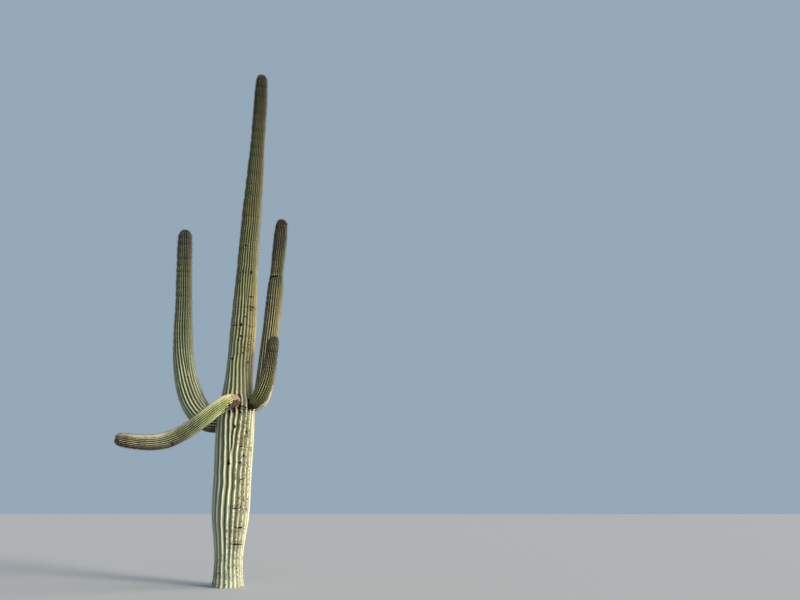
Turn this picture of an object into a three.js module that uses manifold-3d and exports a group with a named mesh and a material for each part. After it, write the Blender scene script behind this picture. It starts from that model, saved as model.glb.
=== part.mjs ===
// A saguaro cactus rooted in the ground: one ribbed trunk and four ribbed arms.
// Millimetres, +Z up. The origin is the middle of the trunk's flat cut at ground level.
// Seen from the front, +X points right and +Y points away.
import * as THREE from 'three';
import { mergeVertices } from 'three/addons/utils/BufferGeometryUtils.js';
import Module from 'manifold-3d';

const wasm = await Module();
wasm.setup();

// Where the trunk's axis stands above its leaning foot. The arms' stations are measured from it.
const AXIS_X = -90;

// Trunk stations: height, offset of the axis in X, and radius over the rib crests.
// The foot is a corky collar, the stem bulges under the arms and is thinner above them.
const TRUNK_STATIONS = [
  [0, 0, 296],
  [150, 0, 276],
  [420, -12, 263],
  [720, -23, 286],
  [1150, -40, 345],
  [1900, -62, 361],
  [2900, -84, 370],
  [3300, -88, 340],
  [3750, -84, 292],
  [5000, -86, 266],
  [6400, -100, 221],
  [7500, -100, 210],
  [8400, -94, 184],
  [9600, -98, 157],
  [10400, -104, 147],
  [11020, -118, 134],
];

// Arm stations: direction from the trunk's axis in degrees (0 is +X and 90 is +Y),
// reach from the axis, height, and radius over the rib crests. Each starts inside the trunk.
const LEFT_ARM_STATIONS = [
  [168, 120, 2965, 175],
  [168, 340, 2945, 205],
  [168, 555, 2996, 236],
  [168, 742, 3115, 245],
  [168, 893, 3278, 248],
  [168, 1106, 3667, 240],
  [168, 1240, 4090, 220],
  [168, 1347, 4748, 198],
  [168, 1408, 5412, 178],
  [168, 1475, 6076, 171],
  [168, 1537, 6740, 158],
  [168, 1573, 7195, 150],
];
const FRONT_ARM_STATIONS = [
  [-80, 150, 3300, 112],
  [-86, 365, 3320, 124],
  [-93, 569, 3267, 140],
  [-101, 733, 3152, 145],
  [-117, 956, 2860, 148],
  [-126, 1030, 2736, 148],
  [-135, 1134, 2628, 150],
  [-140, 1298, 2535, 151],
  [-142, 1503, 2483, 145],
  [-143, 1720, 2474, 135],
  [-145, 2165, 2522, 118],
];
const BACK_RIGHT_ARM_STATIONS = [
  [52, 120, 3325, 135],
  [52, 350, 3325, 155],
  [52, 545, 3446, 182],
  [52, 637, 3655, 191],
  [52, 660, 3900, 190],
  [52, 699, 4541, 182],
  [52, 741, 5198, 176],
  [52, 777, 5855, 174],
  [52, 787, 6050, 168],
  [52, 792, 6170, 154],
  [52, 815, 6732, 152],
  [52, 843, 7610, 138],
];
const FRONT_RIGHT_ARM_STATIONS = [
  [-22, 120, 3262, 100],
  [-22, 310, 3268, 114],
  [-22, 430, 3325, 134],
  [-22, 530, 3434, 156],
  [-22, 602, 3576, 160],
  [-22, 654, 3728, 153],
  [-22, 688, 3910, 142],
  [-22, 714, 4130, 130],
  [-22, 772, 4612, 115],
];

// Ribs: each is one pleat of the skin, with two columns of vertices on its crest and one
// column in the valley beside it.
const TRUNK_RIBS = 22;
const COLUMNS_PER_RIB = 3;
const TRUNK_VALLEY_DEPTH = 0.16;
const ARM_VALLEY_DEPTH = 0.18;

// Domed tips: length of the dome in tip radii, its roundness, and its rings.
const DOME_LENGTH = 1.8;
const DOME_ROUNDNESS = 2.5;
const DOME_RINGS = 4;

// Widest spacing of the rings. Every station has a ring of its own.
const STRAIGHT_RING_STEP = 480;
const WIDE_BEND_RING_STEP = 235;
const TIGHT_BEND_RING_STEP = 130;

// Room between solids that meet.
const GAP = 0.3;

// The first valley of the trunk faces away, and the first valley of an arm is on its top side.
const TRUNK_SIDE = new THREE.Vector3(0, 1, 0);
const ARM_SIDE = new THREE.Vector3(0, 0, 1);

const TRUNK_COLOUR = 0x8d9a6e;
const ARM_COLOUR = 0x76875a;

function trunkPoint([height, offset, radius]) {
  return [offset, 0, height, radius];
}

function armPoint([degrees, reach, height, radius]) {
  const turn = THREE.MathUtils.degToRad(degrees);
  return [AXIS_X + reach * Math.cos(turn), reach * Math.sin(turn), height, radius];
}

// A smooth path through points of [x, y, z, radius], followed by its chord length. Each
// stretch is a cubic whose slope at a point is the mean of the slopes beside it.
class LimbPath {
  constructor(points, side) {
    this.points = points;
    this.side = side;
    this.marks = [0];
    for (let i = 1; i < points.length; i += 1) {
      const [x, y, z] = points[i].map((value, axis) => value - points[i - 1][axis]);
      this.marks.push(this.marks[i - 1] + Math.hypot(x, y, z));
    }
    this.length = this.marks[this.marks.length - 1];
    this.slopes = points.map((_, i) => this.slopeAt(i));
  }

  chordSlope(i) {
    const step = this.marks[i + 1] - this.marks[i];
    return this.points[i].map((value, axis) => (this.points[i + 1][axis] - value) / step);
  }

  slopeAt(i) {
    const last = this.points.length - 1;
    if (i === 0) return this.chordSlope(0);
    if (i === last) return this.chordSlope(last - 1);
    const before = this.marks[i] - this.marks[i - 1];
    const after = this.marks[i + 1] - this.marks[i];
    const slopeBefore = this.chordSlope(i - 1);
    const slopeAfter = this.chordSlope(i);
    return slopeBefore.map(
      (slope, axis) => (slope * after + slopeAfter[axis] * before) / (before + after),
    );
  }

  // The centre, direction and radius of the limb at one distance from its start.
  at(distance) {
    let i = 0;
    while (i < this.points.length - 2 && distance > this.marks[i + 1]) i += 1;
    const step = this.marks[i + 1] - this.marks[i];
    const t = (distance - this.marks[i]) / step;
    const value = [];
    const slope = [];
    for (let axis = 0; axis < 4; axis += 1) {
      const a = this.points[i][axis];
      const b = this.points[i + 1][axis];
      const slopeA = this.slopes[i][axis] * step;
      const slopeB = this.slopes[i + 1][axis] * step;
      const square = 3 * (b - a) - 2 * slopeA - slopeB;
      const cube = 2 * (a - b) + slopeA + slopeB;
      value.push(a + t * (slopeA + t * (square + t * cube)));
      slope.push(slopeA + t * (2 * square + 3 * t * cube));
    }
    return {
      centre: new THREE.Vector3(value[0], value[1], value[2]),
      direction: new THREE.Vector3(slope[0], slope[1], slope[2]).normalize(),
      radius: value[3],
    };
  }
}

// Rings of a stretch: its distance from the limb's start, and the share of the radius that it
// has. They are at both ends, at the stations between them, and at most a step apart.
function plainRings(path, from, to, step) {
  const between = path.marks.filter((mark) => mark > from + GAP && mark < to - GAP);
  const marks = [from, ...between, to];
  const rings = [[from, 1]];
  for (let i = 1; i < marks.length; i += 1) {
    const count = Math.ceil((marks[i] - marks[i - 1]) / step);
    for (let k = 1; k <= count; k += 1) {
      rings.push([marks[i - 1] + ((marks[i] - marks[i - 1]) * k) / count, 1]);
    }
  }
  return rings;
}

// Rings of a stretch that ends in the limb's dome. The last one is the tip itself.
function domedRings(path, from, step) {
  const domeLength = DOME_LENGTH * path.at(path.length).radius;
  const rings = plainRings(path, from, path.length - domeLength, step);
  for (let i = 1; i <= DOME_RINGS; i += 1) {
    const along = Math.sin((i / DOME_RINGS) * (Math.PI / 2));
    const share = i === DOME_RINGS ? 0 : (1 - along ** DOME_ROUNDNESS) ** (1 / DOME_ROUNDNESS);
    rings.push([path.length - domeLength * (1 - along), share]);
  }
  return rings;
}

// One closed, pleated stretch of a limb. It is turned as a straight body of revolution, then
// every ring is pleated and set square to the path.
function pleatedStretch(path, rings, ribs, depth, grow = 0) {
  const columns = ribs * COLUMNS_PER_RIB;
  const stations = rings.map(([distance, share]) => {
    const station = path.at(distance);
    return { ...station, radius: share === 0 ? 0 : station.radius * share + grow };
  });
  const side = path.side.clone();
  for (const station of stations) {
    side.addScaledVector(station.direction, -side.dot(station.direction)).normalize();
    station.side = side.clone();
    station.across = station.direction.clone().cross(side);
  }

  const closedAtTip = stations[stations.length - 1].radius === 0;
  const profile = [new THREE.Vector2(0, rings[0][0])];
  const placed = [stations[0]];
  stations.forEach((station, i) => {
    profile.push(new THREE.Vector2(station.radius, rings[i][0]));
    placed.push(station);
  });
  if (!closedAtTip) {
    profile.push(new THREE.Vector2(0, rings[rings.length - 1][0]));
    placed.push(stations[stations.length - 1]);
  }

  const lathe = new THREE.LatheGeometry(profile, columns);
  const position = lathe.attributes.position;
  for (let i = 0; i < position.count; i += 1) {
    const station = placed[i % profile.length];
    const column = Math.floor(i / profile.length) % columns;
    const inValley = column % COLUMNS_PER_RIB === 0;
    const radius = profile[i % profile.length].x * (inValley ? 1 - depth : 1);
    const turn = (column / columns) * 2 * Math.PI;
    const point = station.centre.clone();
    point.addScaledVector(station.side, radius * Math.cos(turn));
    point.addScaledVector(station.across, radius * Math.sin(turn));
    position.setXYZ(i, point.x, point.y, point.z);
  }
  return closeSeams(lathe);
}

// Merges the vertices along the seam and on the axis, and drops the faces this flattens.
function closeSeams(geometry) {
  geometry.deleteAttribute('normal');
  geometry.deleteAttribute('uv');
  const merged = mergeVertices(geometry, 1e-3);
  const kept = [];
  const corners = merged.index.array;
  for (let i = 0; i < corners.length; i += 3) {
    const [a, b, c] = [corners[i], corners[i + 1], corners[i + 2]];
    if (a !== b && b !== c && c !== a) kept.push(a, b, c);
  }
  merged.setIndex(kept);
  return merged;
}

function toSolid(geometry) {
  return new wasm.Manifold(
    new wasm.Mesh({
      numProp: 3,
      vertProperties: new Float32Array(geometry.attributes.position.array),
      triVerts: new Uint32Array(geometry.index.array),
    }),
  );
}

function toGeometry(solid) {
  const mesh = solid.getMesh();
  const geometry = new THREE.BufferGeometry();
  geometry.setAttribute('position', new THREE.BufferAttribute(mesh.vertProperties, 3));
  geometry.setIndex(new THREE.BufferAttribute(mesh.triVerts, 1));
  return geometry;
}

function namedMesh(name, geometry, colour) {
  geometry.computeVertexNormals();
  const material = new THREE.MeshStandardMaterial({ color: colour, roughness: 0.75, metalness: 0 });
  const mesh = new THREE.Mesh(geometry, material);
  mesh.name = name;
  return mesh;
}

const trunkPath = new LimbPath(TRUNK_STATIONS.map(trunkPoint), TRUNK_SIDE);

function trunkStretch(grow) {
  const rings = domedRings(trunkPath, 0, STRAIGHT_RING_STEP);
  return pleatedStretch(trunkPath, rings, TRUNK_RIBS, TRUNK_VALLEY_DEPTH, grow);
}

const trunkCutter = toSolid(trunkStretch(GAP));

// The arms. Each is two solids that meet at a flat joint above or beyond its bend, at the
// station whose number is given here.
const ARMS = [
  {
    parts: ['left_arm_elbow', 'left_arm_upright'],
    stations: LEFT_ARM_STATIONS,
    joint: 5,
    ribs: 22,
    ringSteps: [WIDE_BEND_RING_STEP, STRAIGHT_RING_STEP],
  },
  {
    parts: ['front_arm_root', 'front_arm_reach'],
    stations: FRONT_ARM_STATIONS,
    joint: 5,
    ribs: 22,
    ringSteps: [WIDE_BEND_RING_STEP, WIDE_BEND_RING_STEP],
  },
  {
    parts: ['back_right_arm_elbow', 'back_right_arm_upright'],
    stations: BACK_RIGHT_ARM_STATIONS,
    joint: 4,
    ribs: 20,
    ringSteps: [TIGHT_BEND_RING_STEP, STRAIGHT_RING_STEP],
  },
  {
    parts: ['front_right_arm_elbow', 'front_right_arm_upright'],
    stations: FRONT_RIGHT_ARM_STATIONS,
    joint: 5,
    ribs: 20,
    ringSteps: [TIGHT_BEND_RING_STEP, WIDE_BEND_RING_STEP],
  },
];

// The two meshes of one arm. The inner one is cut back to the trunk's pleats.
function armMeshes({ parts, stations, joint, ribs, ringSteps }) {
  const path = new LimbPath(stations.map(armPoint), ARM_SIDE);
  const cut = path.marks[joint];
  const innerRings = plainRings(path, 0, cut - GAP / 2, ringSteps[0]);
  const outerRings = domedRings(path, cut + GAP / 2, ringSteps[1]);
  const inner = toSolid(pleatedStretch(path, innerRings, ribs, ARM_VALLEY_DEPTH));
  const outer = pleatedStretch(path, outerRings, ribs, ARM_VALLEY_DEPTH);
  return [
    namedMesh(parts[0], toGeometry(inner.subtract(trunkCutter)), ARM_COLOUR),
    namedMesh(parts[1], outer, ARM_COLOUR),
  ];
}

const group = new THREE.Group();
group.add(namedMesh('trunk', trunkStretch(0), TRUNK_COLOUR));
for (const arm of ARMS) group.add(...armMeshes(arm));

export default group;
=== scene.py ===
"""Looks of a saguaro cactus: ribbed skins, wounds, areoles, spines, floor, light and camera.

Everything is in metres in the frame of the solids: the origin is the middle of the trunk's
flat cut at ground level, +X points right, +Y away and +Z up.
"""
import math

import bpy
import numpy as np
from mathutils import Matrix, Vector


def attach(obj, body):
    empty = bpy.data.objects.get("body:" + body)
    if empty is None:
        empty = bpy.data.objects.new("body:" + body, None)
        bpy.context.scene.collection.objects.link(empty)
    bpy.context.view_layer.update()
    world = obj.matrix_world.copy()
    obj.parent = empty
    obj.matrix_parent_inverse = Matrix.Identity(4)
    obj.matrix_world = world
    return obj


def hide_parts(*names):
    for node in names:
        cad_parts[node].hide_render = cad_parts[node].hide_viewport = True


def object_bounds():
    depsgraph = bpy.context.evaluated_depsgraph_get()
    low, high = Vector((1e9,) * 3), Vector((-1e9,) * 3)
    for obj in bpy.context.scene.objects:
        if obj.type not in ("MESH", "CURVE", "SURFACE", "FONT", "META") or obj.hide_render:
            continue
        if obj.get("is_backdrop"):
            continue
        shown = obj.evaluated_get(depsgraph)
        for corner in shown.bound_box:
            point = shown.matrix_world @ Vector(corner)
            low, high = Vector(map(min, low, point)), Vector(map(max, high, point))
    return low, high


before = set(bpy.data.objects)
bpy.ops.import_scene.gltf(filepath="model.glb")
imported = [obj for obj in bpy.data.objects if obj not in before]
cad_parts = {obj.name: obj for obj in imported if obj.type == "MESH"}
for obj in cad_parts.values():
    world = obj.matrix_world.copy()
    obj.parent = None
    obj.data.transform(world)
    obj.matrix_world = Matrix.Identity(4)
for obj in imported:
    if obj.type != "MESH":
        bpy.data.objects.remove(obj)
cad_low, cad_high = (np.array(corner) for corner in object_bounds())

# The limbs' stations, as the solids have them.
# Trunk: height, offset of the axis in X, radius over the rib crests.
TRUNK_STATIONS = [
    (0, 0, 0.296), (0.15, 0, 0.276), (0.42, -0.012, 0.263), (0.72, -0.023, 0.286),
    (1.15, -0.04, 0.345), (1.9, -0.062, 0.361), (2.9, -0.084, 0.37), (3.3, -0.088, 0.34),
    (3.75, -0.084, 0.292), (5, -0.086, 0.266), (6.4, -0.1, 0.221), (7.5, -0.1, 0.21),
    (8.4, -0.094, 0.184), (9.6, -0.098, 0.157), (10.4, -0.104, 0.147), (11.02, -0.118, 0.134),
]

# X of the upright line that the arms' reaches are measured from.
AXIS_X = -0.090

# Arms: direction from that line in degrees, reach from it, height, radius.
LEFT_ARM_STATIONS = [(168, *station) for station in [
    (0.12, 2.965, 0.175), (0.34, 2.945, 0.205), (0.555, 2.996, 0.236), (0.742, 3.115, 0.245),
    (0.893, 3.278, 0.248), (1.106, 3.667, 0.24), (1.24, 4.09, 0.22), (1.347, 4.748, 0.198),
    (1.408, 5.412, 0.178), (1.475, 6.076, 0.171), (1.537, 6.74, 0.158), (1.573, 7.195, 0.15),
]]
FRONT_ARM_STATIONS = [
    (-80, 0.15, 3.3, 0.112), (-86, 0.365, 3.32, 0.124), (-93, 0.569, 3.267, 0.14),
    (-101, 0.733, 3.152, 0.145), (-117, 0.956, 2.86, 0.148), (-126, 1.03, 2.736, 0.148),
    (-135, 1.134, 2.628, 0.15), (-140, 1.298, 2.535, 0.151), (-142, 1.503, 2.483, 0.145),
    (-143, 1.72, 2.474, 0.135), (-145, 2.165, 2.522, 0.118),
]
BACK_RIGHT_ARM_STATIONS = [(52, *station) for station in [
    (0.12, 3.325, 0.135), (0.35, 3.325, 0.155), (0.545, 3.446, 0.182), (0.637, 3.655, 0.191),
    (0.66, 3.9, 0.19), (0.699, 4.541, 0.182), (0.741, 5.198, 0.176), (0.777, 5.855, 0.174),
    (0.787, 6.05, 0.168), (0.792, 6.17, 0.154), (0.815, 6.732, 0.152), (0.843, 7.61, 0.138),
]]
FRONT_RIGHT_ARM_STATIONS = [(-22, *station) for station in [
    (0.12, 3.262, 0.1), (0.31, 3.268, 0.114), (0.43, 3.325, 0.134), (0.53, 3.434, 0.156),
    (0.602, 3.576, 0.16), (0.654, 3.728, 0.153), (0.688, 3.91, 0.142), (0.714, 4.13, 0.13),
    (0.772, 4.612, 0.115),
]]

# The dome over a tip: its length in radii, its roundness, and how much closer its rings are.
DOME_LENGTH = 1.8
DOME_ROUNDNESS = 2.5
DOME_RINGS = 1.35

# The skin lies this far inside the solids' crests, and the spines fill the room outside it,
# to this far inside the solids' box.
SKIN_INSET = 0.009
BOX_MARGIN = 0.001

# Columns of a rib as shares of its width, from valley to valley, and its section's power.
RIB_COLUMNS = np.array([0.0, 0.15, 0.33, 0.50, 0.67, 0.85])
RIDGE_POWER = 1.35

# How much ribs vary in width along a limb, and sway round it in radians.
SLOW_VARIATION = 0.04
QUICK_VARIATION = 0.024
SWAY = 0.03

# How far past a fork the twin ribs are full width, and the valley between them full depth.
TWIN_GROWTH = 0.9
TWIN_VALLEY = 0.25

# How far the skin swells at its areoles, and how much more on young skin.
TUBERCLE = 0.0014
YOUNG_TUBERCLE = 0.0030

# The skin's unevenness: how far it swells, and how wide its swellings are. It fades where a
# dome is thinner than the full radius. The ragged edges of marks have features of this size.
UNEVENNESS = [(0.0040, 0.34), (0.0012, 0.05)]
FULL_RADIUS = 0.06
RAGGED_SIZE = 0.035

# The brown felt on a tip starts where the dome is this thin.
FELT_RADIUS = 0.055
FELT_FADE = 0.030

# Length of the pale dots along the crests, which neighbouring ribs have in turn.
DOT_PITCH = 0.050

# Direction of the plant's sunburnt side, where warm light is painted in too, in degrees from +X.
TANNED_AND_LIT_SIDE = -4

UV_NAME = "OFBake"


def ease(value):
    """0 up to 0, 1 from 1 on, and a smooth change between them."""
    t = np.clip(value, 0, 1)
    return t * t * (3 - 2 * t)


def unit(vectors):
    """The vectors along the last axis, made one long."""
    return vectors / np.linalg.norm(vectors, axis=-1, keepdims=True)


def lattice_noise(points, size, seed):
    """Smooth noise from -1 to 1 at an array of points, with features of about this size."""
    cells = 32
    lattice = np.random.default_rng(seed).uniform(-1, 1, (cells, cells, cells))
    scaled = np.asarray(points) / size + 1000.0
    low = np.floor(scaled).astype(int)
    part = ease(scaled - low)
    total = np.zeros(scaled.shape[:-1])
    for corner in range(8):
        step = np.array([corner & 1, corner >> 1 & 1, corner >> 2 & 1])
        index = (low + step) % cells
        weight = np.prod(np.where(step == 1, part, 1 - part), axis=-1)
        total += weight * lattice[index[..., 0], index[..., 1], index[..., 2]]
    return total


class Limb:
    """A limb's smooth path through points of (x, y, z, radius), followed by chord length.
    Angles round it are counted from the side given at its start."""

    def __init__(self, points, side):
        self.points = np.array(points, float)
        self.side = np.array(side, float)
        steps = np.linalg.norm(np.diff(self.points[:, :3], axis=0), axis=1)
        self.marks = np.concatenate([[0.0], np.cumsum(steps)])
        self.length = self.marks[-1]
        self.dome_length = DOME_LENGTH * self.points[-1, 3]
        self.dome_start = self.length - self.dome_length
        self.skin_tip = self.length - SKIN_INSET
        chords = np.diff(self.points, axis=0) / steps[:, None]
        before, after = steps[:-1, None], steps[1:, None]
        inner = (chords[:-1] * after + chords[1:] * before) / (before + after)
        self.slopes = np.concatenate([chords[:1], inner, chords[-1:]])

    def at(self, distance):
        """Centres, directions and radii at an array of distances from the limb's start."""
        i = np.clip(np.searchsorted(self.marks, distance, "right") - 1, 0, len(self.marks) - 2)
        step = (self.marks[i + 1] - self.marks[i])[:, None]
        t = (distance - self.marks[i])[:, None] / step
        a, b = self.points[i], self.points[i + 1]
        slope_a, slope_b = self.slopes[i] * step, self.slopes[i + 1] * step
        square = 3 * (b - a) - 2 * slope_a - slope_b
        cube = 2 * (a - b) + slope_a + slope_b
        value = a + t * (slope_a + t * (square + t * cube))
        slope = (slope_a + t * (2 * square + 3 * t * cube))[:, :3]
        return value[:, :3], unit(slope), value[:, 3]

    def frames(self, distance):
        """Centres, radii, and the two axes across the limb at each distance."""
        centre, direction, radius = self.at(distance)
        side = np.zeros_like(direction)
        current = self.side
        for i, along in enumerate(direction):
            current = current - along * (current @ along)
            current = current / np.linalg.norm(current)
            side[i] = current
        return centre, radius, side, np.cross(direction, side)

    def ring_distances(self, start, step):
        """Distances of the rings: even along the stem, and closer together up the dome."""
        straight = np.arange(start, self.dome_start, step)
        count = int(self.dome_length * DOME_RINGS / step)
        rise = np.sin(np.linspace(0, math.pi / 2, count + 1))
        dome = self.dome_start + (self.skin_tip - self.dome_start) * rise
        return np.concatenate([straight[:-1], dome])


def arm_limb(stations):
    """An arm's path, with angles counted from the upper side of its root."""
    points = []
    for degrees, reach, height, radius in stations:
        turn = math.radians(degrees)
        points.append((AXIS_X + reach * math.cos(turn), reach * math.sin(turn), height, radius))
    return Limb(points, (0, 0, 1))


def waves(distance, count, seed, lengths=(3.1, 1.7, 0.9)):
    """Random waves of these lengths along a limb, one row for each rib."""
    chance = np.random.default_rng(seed)
    total = np.zeros((count, len(distance)))
    for length in lengths:
        phase = chance.uniform(0, 2 * math.pi, (count, 1))
        stretch = chance.uniform(0.8, 1.25, (count, 1))
        total += np.sin(distance[None, :] * 2 * math.pi / (length * stretch) + phase)
    return total / len(lengths)


def rib_layout(distance, ribs, forks, seed, uneven):
    """Where each rib starts and how wide it is on every ring, in radians, and how far it is
    parted from its twin. A fork is (rib, distance, way): that rib and the next are one below
    the distance where way is 1, and above it where way is -1. Uneven is (share, widest rib,
    distance): how much wider ribs are on one side of the foot, and where that has faded."""
    slow = waves(distance, ribs, seed)
    quick = waves(distance, ribs, seed + 7, (0.5, 0.3))
    width = 1 + SLOW_VARIATION * slow + QUICK_VARIATION * quick
    share, widest, fade = uneven
    side = np.cos((np.arange(ribs) - widest) * 2 * math.pi / ribs)
    width *= 1 + share * side[:, None] * ease((fade + 1.2 - distance) / 1.2)
    parted = np.ones((ribs, len(distance)))
    for rib, place, way in forks:
        past = way * (distance - place)
        for twin in (rib, rib + 1):
            width[twin] *= 0.5 + 0.5 * ease(past / TWIN_GROWTH)
            parted[twin] = ease(past / TWIN_VALLEY)
    width *= 2 * math.pi / width.sum(axis=0)
    start = np.concatenate([np.zeros((1, len(distance))), np.cumsum(width, axis=0)[:-1]])
    start += SWAY * waves(distance, 1, seed + 1)
    return start, width, parted


def ridge(u):
    """A pleat's section: straight flanks from a sharp valley to a rounded crest."""
    return 1 - np.abs(2 * np.clip(u, 0, 1) - 1) ** RIDGE_POWER


def ridge_heights(ribs, forks, parted):
    """Height of the pleat from 0 in a valley to 1 on a crest, by rings, ribs and columns."""
    single = np.broadcast_to(ridge(RIB_COLUMNS), (parted.shape[1], ribs, len(RIB_COLUMNS)))
    height = single.copy()
    for rib, _, _ in forks:
        for number, twin in enumerate((rib, rib + 1)):
            joined = ridge((RIB_COLUMNS + number) / 2)
            share = parted[twin][:, None]
            height[:, twin] = share * single[:, twin] + (1 - share) * joined
    return height


def growth_bands(distance, seed, spacing):
    """Waists where seasons' growth stopped: 0 between them, and up to 1 on strong ones."""
    chance = np.random.default_rng(seed)
    seasons = 160
    edges = np.cumsum(chance.uniform(*spacing, seasons))
    strengths = chance.uniform(0.4, 1.0, seasons)
    reach = 0.09 * sum(spacing)
    total = np.zeros(len(distance))
    for edge, strength in zip(edges, strengths):
        total += strength * np.exp(-np.abs(distance - edge) / reach)
    return np.minimum(total, 1)


def add_object(name, data):
    added = bpy.data.objects.new(name, data)
    bpy.context.scene.collection.objects.link(added)
    return added


def mesh_object(name, vertices, faces, material, smooth=True):
    mesh = bpy.data.meshes.new(name)
    mesh.from_pydata(vertices.tolist(), [], faces)
    mesh.materials.append(material)
    mesh.polygons.foreach_set("use_smooth", np.full(len(mesh.polygons), smooth))
    return add_object(name, mesh)


class Skin:
    """The pleated skin of one limb: points over its rings, and the columns of its ribs.

    Depth is how deep the pleats are as a share of the radius, the share of that at the root,
    and where along the limb they start to deepen and how soon they are full. Marks are placed
    in degrees from zero, and the first rib starts at shift, in radians. Waist is how deep the
    seasons' waists are low down and at the tip, and how far down they get shallow; spacing,
    a season's least and most length; dots, how strong the crests' dots are and how far down
    they end; tan, distances and how sunburnt the skin is there, with painted warm light on the
    lit side; shade, how much of the painted underside shade the root gets, and where the full
    painted shade starts.
    """

    def __init__(
        self, name, limb, start, ring_step, ribs, forks, seed, depth, zero=0, shift=0.0,
        uneven=(0, 0, 0), waist=(0.008, 0.03, 3.0), spacing=(0.09, 0.24),
        dots=(0.2, 3.0), tan=((0,), (0,)), shade=(1.0, 0),
    ):
        self.name, self.limb, self.seed = name, limb, seed
        self.ribs, self.forks = ribs, forks
        self.zero, self.tan, self.shade = zero, tan, shade
        self.distance = limb.ring_distances(start, ring_step)
        self.to_tip = limb.length - self.distance
        self.centre, radius, self.side, self.across = limb.frames(self.distance)
        along = (self.distance - limb.dome_start) / (limb.skin_tip - limb.dome_start)
        share = (1 - np.clip(along, 0, 1) ** DOME_ROUNDNESS) ** (1 / DOME_ROUNDNESS)
        self.radius = (radius - SKIN_INSET) * share

        # The radius without relief, then each part of the relief in turn.
        first, width, self.parted = rib_layout(self.distance, ribs, forks, seed, uneven)
        angle = shift + first.T[:, :, None] + width.T[:, :, None] * RIB_COLUMNS
        height = ridge_heights(ribs, forks, self.parted)
        least_waist, most_waist, waist_reach = waist
        youth = ease((waist_reach - self.to_tip) / waist_reach)[:, None, None]
        waist_depth = least_waist + (most_waist - least_waist) * youth
        band = growth_bands(self.distance, seed + 2, spacing)[:, None, None]
        full, least, deepen, reach = depth
        deep = full * (least + (1 - least) * ease((self.distance - deepen) / reach))
        pleat = deep[:, None, None] * (1 - height)
        radial = self.radius[:, None, None] * (1 - pleat) * (1 - waist_depth * band)
        rings = len(self.distance)
        turn = np.where((np.arange(rings)[:, None] + np.arange(ribs)) % 2 == 0, 1.0, -1.0)
        swell = ease(self.radius / FULL_RADIUS)[:, None, None]
        tubercle = TUBERCLE + YOUNG_TUBERCLE * youth
        radial = radial + tubercle * swell * turn[:, :, None] * height ** 3

        strength, dots_reach = dots
        beat = self.distance[:, None] * 2 * math.pi / DOT_PITCH + math.pi * np.arange(ribs)
        fresh = strength * ease((dots_reach - self.to_tip) / dots_reach)[:, None]
        crest = height * (1 - fresh * (0.5 - 0.5 * np.cos(beat)))[:, :, None]
        waist_look = np.broadcast_to(band * waist_depth / most_waist, radial.shape)

        self.columns = ribs * len(RIB_COLUMNS)
        grids = (angle, height, radial, crest, waist_look)
        grids = (grid.reshape(rings, self.columns) for grid in grids)
        self.angle, self.height, self.radial, crest, waist_look = grids
        surface = self.place(self.radial)
        for number, (rise, size) in enumerate(UNEVENNESS):
            noise = lattice_noise(surface, size, seed + 3 + number)
            self.radial += rise * noise * swell[:, :, 0]
        self.ragged = lattice_noise(surface, RAGGED_SIZE, seed + 5)

        # What the material reads, each from 0 to 1 at every vertex.
        blank = np.zeros_like(self.radial)
        felt = blank + ease((FELT_RADIUS - self.radius) / FELT_FADE)[:, None]
        self.looks = {
            "crest": crest, "waist": waist_look, "scar": blank, "cork": 0.55 * felt,
            "pale": blank, "under": blank, "tanned": blank, "stain": 0.75 * felt,
        }

    def place(self, radial):
        """Points of the skin at these distances from the limb's axis."""
        cosine, sine = np.cos(self.angle)[:, :, None], np.sin(self.angle)[:, :, None]
        outward = self.side[:, None] * cosine + self.across[:, None] * sine
        return self.centre[:, None] + radial[:, :, None] * outward

    def offsets(self, place, degrees):
        """How far each vertex is round the limb and along it from one spot, in metres."""
        turn = self.angle - math.radians(degrees + self.zero)
        turn = (turn + math.pi) % (2 * math.pi) - math.pi
        return turn * self.radius[:, None], (self.distance - place)[:, None]

    def patch(self, place, degrees, half_width, half_height):
        """How much each vertex lies in a ragged patch round a spot, from 0 to 1."""
        around, along = self.offsets(place, degrees)
        reach = np.sqrt((around / half_width) ** 2 + (along / half_height) ** 2)
        return ease((1.3 + 0.45 * self.ragged - reach) / 0.6)

    def mark(self, **shares):
        """Raises each of these looks to its share where it is lower."""
        for look, share in shares.items():
            self.looks[look] = np.maximum(self.looks[look], share)

    def wound(self, place, degrees, half_width, half_height, depth):
        """A healed hole or crack: sunk and dark, with a ragged corky lip round it."""
        around, along = self.offsets(place, degrees)
        along = along + 0.5 * half_height * self.ragged
        reach = np.sqrt((around / half_width) ** 2 + (along / half_height) ** 2)
        reach *= 1 + 0.45 * self.ragged
        self.radial -= depth * ease((1.15 - reach) / 0.75)
        self.radial += 0.22 * depth * np.exp(-(((reach - 1.45) / 0.35) ** 2))
        self.mark(scar=ease((1.45 - reach) / 0.65))
        self.mark(cork=0.25 * ease((2.1 - reach) / 0.8))

    def crack(self, place, degrees, half_width, bend):
        """A thin healed crack across the ribs, broken here and there."""
        half_height, depth = 0.013, 0.008
        around, along = self.offsets(place, degrees)
        along = along - bend * around ** 2 / half_width ** 2 + 0.012 * self.ragged
        reach = np.sqrt((around / half_width) ** 2 + (along / half_height) ** 2)
        reach *= 1 + 0.7 * np.maximum(self.ragged, -0.3)
        self.radial -= depth * ease((1.15 - reach) / 0.75)
        self.mark(scar=ease((1.5 - reach) / 0.8))
        self.mark(cork=0.35 * ease((2.4 - reach) / 0.9))

    def collar(self, place, degrees, size, rise):
        """A swelling of the skin round the root of an arm of this radius, brown where they meet and
        darkened there with painted shade.
        """
        around, along = self.offsets(place, degrees)
        reach = np.sqrt(around ** 2 + along ** 2) / size
        self.radial += rise * np.exp(-(((reach - 1.0) / 0.35) ** 2))
        dark = ease((1.3 + 0.25 * self.ragged - reach) / 0.3)
        self.mark(scar=0.4 * dark, stain=0.7 * dark)

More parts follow.
